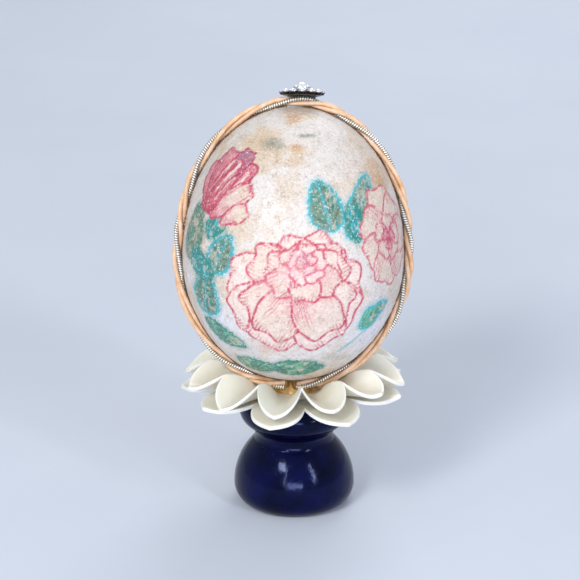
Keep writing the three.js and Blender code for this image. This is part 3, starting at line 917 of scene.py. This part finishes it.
def glue_stain_and_shadow(art):
    """Old glue that has crept out from under the cord along the seam as a tan stain, and right along the
    cord's edges a dark brown band that is glue with the cord's painted shadow.
    """
    away = np.abs(art.points[:, 1]) - 0.45 * art.middle - 0.25 * art.fine
    art.lay(slice(None), TAN, 0.5 * (1 - smooth(1.6, 3.2, away)))
    # painted shadow with glue: the dark brown band where the cord meets the paper
    art.lay(slice(None), DARK_GLUE_AND_SHADOW, 0.9 * (1 - smooth(1.15, 1.7, away)))


# ---- paper

CRUMPLE = Noise(1.5, 4)
CREASE = Noise(0.8, 5)
CRUMPLE_HEIGHT = 0.07
CREASE_HEIGHT = 0.05
GLUE_BEAD = 0.32  # height of the old glue squeezed up under the cord
PAPER_ROWS = 300
PAPER_COLUMNS = 280
INNER_COLUMNS = 10


def crumpled(points):
    """Points of the paper's outer face raised into soft crumples, and over the glue along the seam."""
    outward = unit(points)
    from_seam = np.abs(points[:, 1])
    height = CRUMPLE_HEIGHT * CRUMPLE(points) + CREASE_HEIGHT * CREASE(points)
    height *= smooth(0.2, 1.2, from_seam)
    height += GLUE_BEAD * (1 - smooth(0.25, 1.0, from_seam))
    return points + outward * height[:, None]


def make_paper(name, start_angle, paint, node):
    """Paper over the half of the shell that starts at an angle round the egg's axis: a fine outer
    face, a coarse inner one, and the thin edges between them."""
    rows, columns, inner_columns = PAPER_ROWS, PAPER_COLUMNS, INNER_COLUMNS
    end = QUARTER - PAPER_END_ANGLE
    heights = np.linspace(-end, end, rows)

    def face(offset, count):
        profile = egg_outline(heights, offset)
        seam = np.arcsin(SEAM_GAP / profile[:, :1])
        turn = start_angle + seam + (math.pi - 2 * seam) * np.linspace(0, 1, count)
        return spin(profile, turn)

    outer, inner = crumpled(face(PAPER_TOP, columns)), face(PAPER_GAP, inner_columns)
    shift = len(outer)
    faces = grid_faces(rows, columns)
    faces += [tuple(shift + v for v in quad[::-1]) for quad in grid_faces(rows, inner_columns)]
    for side, inner_side, flip in ((0, 0, True), (columns - 1, inner_columns - 1, False)):
        for i in range(rows - 1):
            under = shift + i * inner_columns + inner_side
            quad = (i * columns + side, (i + 1) * columns + side, under + inner_columns, under)
            faces.append(quad[::-1] if flip else quad)
    for row, flip in ((0, False), (rows - 1, True)):
        for j in range(columns - 1):
            a = j * (inner_columns - 1) // (columns - 1)
            b = (j + 1) * (inner_columns - 1) // (columns - 1)
            corners = [row * columns + j + 1, row * columns + j, shift + row * inner_columns + a]
            if b > a:
                corners.append(shift + row * inner_columns + b)
            faces.append(tuple(corners[::-1] if flip else corners))
    piece = build_mesh(name, np.vstack([outer, inner]), faces, EGG_MATRIX)
    art = Painting(outer)
    paint_ground(art)
    paint(art)
    glue_stain_and_shadow(art)
    colour_attribute(piece, "artwork", np.vstack([art.colour, np.tile(CREAM, (len(inner), 1))]))
    return finish_piece(piece, PAPER, node)


# ---- cord

PURL_PITCH = 0.5
PURL_LOW = 0.82  # of the strand's radius, in the groove between two winds
PURL_WIND = 0.28
SATIN_PITCH = 2.4
SATIN_PLIES = 3
SATIN_PLY = 0.05
PURL_SIDES = 14
PURL_SAMPLES = 3200
SATIN_SIDES = 16
SATIN_SAMPLES = 1500


def cord_middle(samples):
    """The cord's middle line, evenly spaced: once round the egg, clockwise seen from the front."""
    angles = np.linspace(-QUARTER - CORD_END_GAP, -5 * QUARTER + CORD_END_GAP, 4 * samples)
    line = egg_outline(angles, CORD_OFFSET)
    run = run_along(line)
    even = np.linspace(0, run[-1], samples)
    return np.stack([np.interp(even, run, line[:, 0]), 0 * even, np.interp(even, run, line[:, 1])], -1)


def make_strand(name, start, radius_at, sides, samples, material, node):
    """One strand laid round the cord's middle line. radius_at(run, turn) is its section, as a share
    of the plain strand's."""
    middle = cord_middle(samples)
    along = unit(np.gradient(middle, axis=0))
    out = np.stack([-along[:, 2], 0 * along[:, 1], along[:, 0]], -1)
    part = np.linspace(0, 1, samples)
    waves = sum(size * np.sin(FULL_TURN * (count * part + shift)) for count, size, shift in LAY_WAVES)
    turn = FULL_TURN * (CORD_TWISTS * part + start + waves)
    lay = np.cos(turn)[:, None] * out + np.sin(turn)[:, None] * np.array([0, 1, 0])
    line = middle + LAY_RADIUS * lay
    forward = unit(np.gradient(line, axis=0))
    first = unit(lay - (lay * forward).sum(1, keepdims=True) * forward)
    second = np.cross(forward, first)
    run = run_along(line)
    round_it = turns(sides)
    share = radius_at(run[:, None], round_it[None, :])
    outward = (np.cos(round_it)[:, None] * first[:, None]
               + np.sin(round_it)[:, None] * second[:, None])
    ring = line[:, None] + (STRAND_RADIUS * share)[..., None] * outward
    points = np.vstack([ring.reshape(-1, 3), line[:1], line[-1:]])
    piece = build_mesh(name, points, capped_faces(samples, sides), EGG_MATRIX)
    # the section's height, 0 in the grooves and 1 on the crests; the purl's material paints shade in the
    # grooves with it
    height = np.append(smooth(share.min(), share.max(), share).ravel(), [1, 1])
    colour_attribute(piece, "rib", height[:, None])
    return finish_piece(piece, material, node)


def make_cords():
    def satin(run, turn):
        return 1 + SATIN_PLY * np.cos(SATIN_PLIES * turn + FULL_TURN * run / SATIN_PITCH)

    def purl(run, turn):
        return PURL_LOW + PURL_WIND * np.abs(np.sin(math.pi * run / PURL_PITCH + 0.5 * turn))

    satin_finish = satin_material()
    make_strand("purl_strand", SILVER_START, purl, PURL_SIDES, PURL_SAMPLES, purl_material(),
                "silver_purl_cord")
    for letter, offset in (("a", 1 / 3), ("b", 2 / 3)):
        make_strand(f"satin_strand_{letter}", SILVER_START + offset, satin, SATIN_SIDES, SATIN_SAMPLES,
                    satin_finish, f"peach_cord_{letter}")


# ---- finial

CORD_MIDDLE_AT_TOP = EGG_UPPER + CORD_OFFSET
CORD_TOP = CORD_MIDDLE_AT_TOP + CORD_RADIUS
FINIAL_MATRIX = (EGG_MATRIX @ Matrix.Translation((FINIAL_SHIFT, 0, CORD_TOP + FINIAL_TO_CORD))
                 @ Matrix.Rotation(-FINIAL_TILT, 4, "X"))
PLATE_EDGE = ((0.94, 0), (1, 0.1), (1, 0.22), (0.97, PLATE_THICKNESS))  # radius share and height
PLATE_SIDES = 96
CUP_SIDES = 32
CLAWS = 4
CUP_LIP = 0.03
CUP_LIP_HEIGHT = 0.12
STONE_DEPTH = 0.8  # below its girdle, to its radius
FLAT_ANGLE = 0.02  # facets closer to flat than this are one facet


def join_shells(shells):
    """Points and faces of several shells put together."""
    points, faces, count = [], [], 0
    for shell_points, shell_faces in shells:
        points.append(np.asarray(shell_points, float))
        faces += [tuple(v + count for v in face) for face in shell_faces]
        count += len(shell_points)
    return np.vstack(points), faces


def bead(centre, radius):
    """The rounded tip of a claw."""
    points, faces = revolve(arc(0, 0, radius, radius, -QUARTER, QUARTER, 9), 12)
    return points + np.asarray(centre), faces


def cup(stone_radius, height, place):
    """A stone's cup with four claws bent over its girdle."""
    inner = stone_radius + CUP_CLEARANCE
    outer = inner + CUP_WALL
    floor = PLATE_THICKNESS
    outside = [(0, floor / 2), (outer * 0.7, floor / 2), (outer * 0.72, floor),
               (outer * 0.94, height * 0.6), (outer, height - CUP_LIP_HEIGHT), (outer - CUP_LIP, height)]
    inside = [(inner, height), (inner * 0.7, floor), (0, floor)]
    points, faces = revolve(outside + inside, CUP_SIDES)
    shells = [(points + np.asarray(place), faces)]
    claw = 0.04 + 0.07 * stone_radius
    for k in range(CLAWS):
        a = math.radians(45 + 90 * k)
        for reach, rise in ((outer - 0.02, -0.06), (outer - 0.06, 0.04), (inner - 0.06, 0.1)):
            tip = (place[0] + reach * math.cos(a), place[1] + reach * math.sin(a), height + rise)
            shells.append(bead(tip, claw))
    return join_shells(shells)


def ring_places():
    """The middle of each small cup, anticlockwise from the right."""
    for k in range(RING_STONES):
        a = 2 * math.pi * k / RING_STONES
        yield (RING_RADIUS * math.cos(a), RING_RADIUS * math.sin(a), 0)


def make_setting():
    edge = [(PLATE_RADIUS * share, height) for share, height in PLATE_EDGE]
    plate = revolve([(0, 0), *edge, (0, PLATE_THICKNESS)], PLATE_SIDES)
    shells = [plate, cup(CENTRE_STONE_RADIUS, CENTRE_CUP_HEIGHT, (0, 0, 0))]
    shells += [cup(SMALL_STONE_RADIUS, SMALL_CUP_HEIGHT, place) for place in ring_places()]
    points, faces = join_shells(shells)
    piece = build_mesh("claw_setting", points, faces, FINIAL_MATRIX)
    # painted shade: points below 0.4 mm are dark, points above 0.8 mm are lit silver
    colour_attribute(piece, "painted_light_by_height", smooth(0.4, 0.8, points[:, 2:]))
    return finish_piece(piece, metal_material(), "finial_setting")


def make_stone(name, radius, cup_height, place, material, node):
    """A round brilliant: table, two rows of crown facets, girdle and pavilion."""
    depth = min(radius * STONE_DEPTH, cup_height - PLATE_THICKNESS - CUP_CLEARANCE)
    rows = (  # radius and height as shares of the stone's radius, number of corners and their offset
        (0.5, 0.55, 8, 0),
        (0.82, 0.36, 8, 0.5),
        (1.0, 0.04, 16, 0),
        (1.0, -0.02, 16, 0),
        (0.5, -0.5 * depth / radius, 8, 0.5),
    )
    mesh = bmesh.new()
    for share, height, count, offset in rows:
        for k in range(count):
            a = 2 * math.pi * (k + offset) / count
            mesh.verts.new((radius * share * math.cos(a), radius * share * math.sin(a), radius * height))
    mesh.verts.new((0, 0, -depth))
    bmesh.ops.convex_hull(mesh, input=mesh.verts)
    bmesh.ops.dissolve_limit(mesh, angle_limit=FLAT_ANGLE, verts=mesh.verts, edges=mesh.edges)
    mesh.verts.index_update()
    points = np.array([v.co for v in mesh.verts]) + np.array(place) + (0, 0, cup_height)
    faces = [tuple(v.index for v in f.verts) for f in mesh.faces]
    mesh.free()
    piece = build_mesh(name, points, faces, FINIAL_MATRIX, smooth_faces=False)
    return finish_piece(piece, material, node)


DAB_COLUMNS = 72
DAB_ROWS = 16
DAB_SIDE_ROWS = 12
DAB_START = 0.05  # the innermost loop, to the dab's radius
DAB_WAIST = 0.35
DAB_LEAST = 0.04  # thickness where the cord squeezes it thin
DAB_NEAREST = STRAND_RADIUS + 0.1  # front edge of the dab, behind the cord's middle line
DAB_BELOW_CORD_TOP = 0.02
CORD_CURVE = 36  # twice the radius that the cord's middle line bends to at the top


def make_dab():
    """The dab of glue behind the cord that holds the finial on the egg."""
    turn = np.linspace(0, math.pi, DAB_COLUMNS)
    slope = math.tan(FINIAL_TILT)
    outline = egg_outline(np.linspace(0.6, QUARTER - 0.001, 400), PAPER_TOP + GLUE_CLEARANCE)[::-1]

    def place(radius):
        x = FINIAL_SHIFT + radius * np.cos(turn)
        y = np.maximum(radius * np.sin(turn), DAB_NEAREST)
        return x, y

    def bottom(x, y):
        egg = np.interp(np.hypot(x, y), outline[:, 0], outline[:, 1])
        reach = CORD_RADIUS + GLUE_CLEARANCE
        middle = CORD_MIDDLE_AT_TOP - x ** 2 / CORD_CURVE
        cord = middle + np.sqrt(np.maximum(reach ** 2 - y ** 2, 0))
        return np.where(y < reach, np.maximum(egg, cord), egg)

    def lid(x, y):
        return CORD_TOP - DAB_BELOW_CORD_TOP - slope * y

    loops = []
    for share in np.linspace(DAB_START, 1, DAB_ROWS):
        x, y = place(share * DAB_FOOT)
        loops.append(np.stack([x, y, np.minimum(bottom(x, y), lid(x, y) - DAB_LEAST)], -1))
    foot_z = loops[-1][:, 2]
    for t in np.linspace(0, 1, DAB_SIDE_ROWS)[1:]:
        x, y = place(mix(DAB_FOOT, DAB_RADIUS, t ** 2) - DAB_WAIST * math.sin(t * math.pi))
        loops.append(np.stack([x, y, mix(foot_z, lid(x, y), t)], -1))
    for share in np.linspace(1, DAB_START, DAB_ROWS)[1:]:
        x, y = place(share * DAB_RADIUS)
        loops.append(np.stack([x, y, lid(x, y)], -1))
    piece = build_mesh("glue_dab", *stacked(loops), EGG_MATRIX)
    return finish_piece(piece, GLUE, "finial_glue")


def make_finial():
    make_setting()
    make_dab()
    crystal = rhinestone_material()
    make_stone("rhinestone_centre", CENTRE_STONE_RADIUS, CENTRE_CUP_HEIGHT, (0, 0, 0), crystal,
               "finial_centre_stone")
    for k, place in enumerate(ring_places(), 1):
        make_stone(f"rhinestone_{k:02d}", SMALL_STONE_RADIUS, SMALL_CUP_HEIGHT, place, crystal,
                   f"finial_ring_stone_{k:02d}")


# ---- glue bed

UNDERSIDE_STEPS = 240
UNDERSIDE_HEIGHT = 40  # above anything that the glue meets
CORD_STEPS = 400
CORD_END_HEIGHT = 36
POOL_COLUMNS = 120
POOL_ROWS = 26
POOL_SIDE_ROWS = 14
POOL_START = 0.02  # the innermost loop, to the pool's radius
POOL_LEAST = 0.15
POOL_FLOOR_HOLE = 0.1
FRONT_BULGE = 0.13
FRONT_BULGE_ANGLE = 0.45


def underside(x, y):
    """Height of whatever hangs over the flower's hub: the egg's paper or the cord."""
    profile = egg_outline(np.linspace(-QUARTER, 0.2, UNDERSIDE_STEPS), PAPER_TOP + GLUE_CLEARANCE)
    egg = moved(spin(profile, turns(UNDERSIDE_STEPS)), EGG_MATRIX)
    low = egg[egg[:, 2] < UNDERSIDE_HEIGHT]
    result = np.array([low[np.hypot(low[:, 0] - a, low[:, 1] - b).argmin(), 2] for a, b in zip(x, y)])
    cord = moved(cord_middle(CORD_STEPS), EGG_MATRIX)
    reach = CORD_RADIUS + GLUE_CLEARANCE
    for centre in cord[cord[:, 2] < CORD_END_HEIGHT]:
        away = (x - centre[0]) ** 2 + (y - centre[1]) ** 2
        over = centre[2] - np.sqrt(np.maximum(reach ** 2 - away, 0))
        result = np.where(away < reach ** 2, np.minimum(result, over), result)
    return result


def make_glue():
    """A pool of glue on the hub that climbs to the egg in a hollow curve."""
    floor = UPPER_TIER["hub_top"] + TIER_GAP
    turn = turns(POOL_COLUMNS)
    to_front = np.abs((turn + QUARTER + math.pi) % FULL_TURN - math.pi)
    bulge = FRONT_BULGE * (1 - smooth(0.0, FRONT_BULGE_ANGLE, to_front))
    top_radius = GLUE_WAIST * (1 + 0.03 * np.sin(3 * turn + 1) + 0.02 * np.sin(7 * turn) + bulge)
    loops = []
    for share in np.linspace(POOL_START, 1, POOL_ROWS):
        x, y = share * top_radius * np.cos(turn), share * top_radius * np.sin(turn)
        loops.append(np.stack([x, y, np.maximum(underside(x, y), floor + POOL_LEAST)], -1))
    rim = loops[-1]
    for t in np.linspace(0, 1, POOL_SIDE_ROWS)[1:]:
        radius = mix(np.hypot(rim[:, 0], rim[:, 1]), GLUE_RADIUS, 1 - math.cos(t * QUARTER))
        z = mix(rim[:, 2], floor, math.sin(t * QUARTER))
        loops.append(np.stack([radius * np.cos(turn), radius * np.sin(turn), z], -1))
    loops.append(spin(np.array([[POOL_FLOOR_HOLE, floor]]), turn))
    piece = build_mesh("glue_pool", *stacked(loops))
    return finish_piece(piece, GLUE, "glue_bed")


# ---- studio

def look_at(thing, target):
    """Turns a camera or light towards a point."""
    thing.rotation_euler = (Vector(target) - thing.location).to_track_quat("-Z", "Y").to_euler()


def make_camera():
    camera = bpy.data.objects.new("camera", bpy.data.cameras.new("camera"))
    camera.data.lens = CAMERA_LENS
    camera.data.sensor_width = SENSOR_WIDTH
    camera.data.clip_start = NEAREST_SEEN
    back = Vector((0, -math.cos(CAMERA_ELEVATION), math.sin(CAMERA_ELEVATION)))
    camera.location = (CAMERA_TARGET + back * CAMERA_DISTANCE) * MM
    look_at(camera, CAMERA_TARGET * MM)
    bpy.context.scene.collection.objects.link(camera)
    bpy.context.scene.camera = camera


def make_light(name, place, width, height, watts, colour):
    """A soft rectangular light aimed at the egg."""
    lamp = bpy.data.lights.new(name, "AREA")
    lamp.shape = "RECTANGLE"
    lamp.size, lamp.size_y = width * MM, height * MM
    lamp.energy = watts
    lamp.color = linear(colour)
    light = bpy.data.objects.new(name, lamp)
    light.location = Vector(place) * MM
    look_at(light, Vector(LIGHT_TARGET) * MM)
    bpy.context.scene.collection.objects.link(light)


def make_studio():
    world = bpy.data.worlds.new("studio")
    world.use_nodes = True
    sky = world.node_tree.nodes["Background"]
    sky.inputs["Color"].default_value = (*linear("#E9EEF6"), 1)
    sky.inputs["Strength"].default_value = 0.55
    bpy.context.scene.world = world
    bpy.context.scene.view_settings.view_transform = "Standard"
    for light in LIGHTS:
        make_light(*light)

    corners = [(x * FLOOR_REACH, y * FLOOR_REACH, 0) for x, y in ((-1, -1), (1, -1), (1, 1), (-1, 1))]
    floor = build_mesh("floor", corners, [(0, 1, 2, 3)])
    cloth = Nodes("pale_floor", Roughness=0.85)
    cloth.set("Base Color", cloth.ramp(cloth.noise(60), [(0.3, "#C5CCD9"), (0.7, "#C9D0DC")]))
    floor.data.materials.append(cloth.material)


# ---- assembly

PAPER = paper_material()
IVORY = ivory_material()
GLUE = glue_material()

make_camera()
make_studio()
make_stand()
make_tier("flower_lower_tier", LOWER_TIER, IVORY, "lower_petal_tier")
make_tier("flower_upper_tier", UPPER_TIER, IVORY, "upper_petal_tier")
make_glue()
make_shell()
make_paper("paper_front", -math.pi, paint_front, "rose_paper_front")
make_paper("paper_back", 0, paint_back, "rose_paper_back")
make_cords()
make_finial()
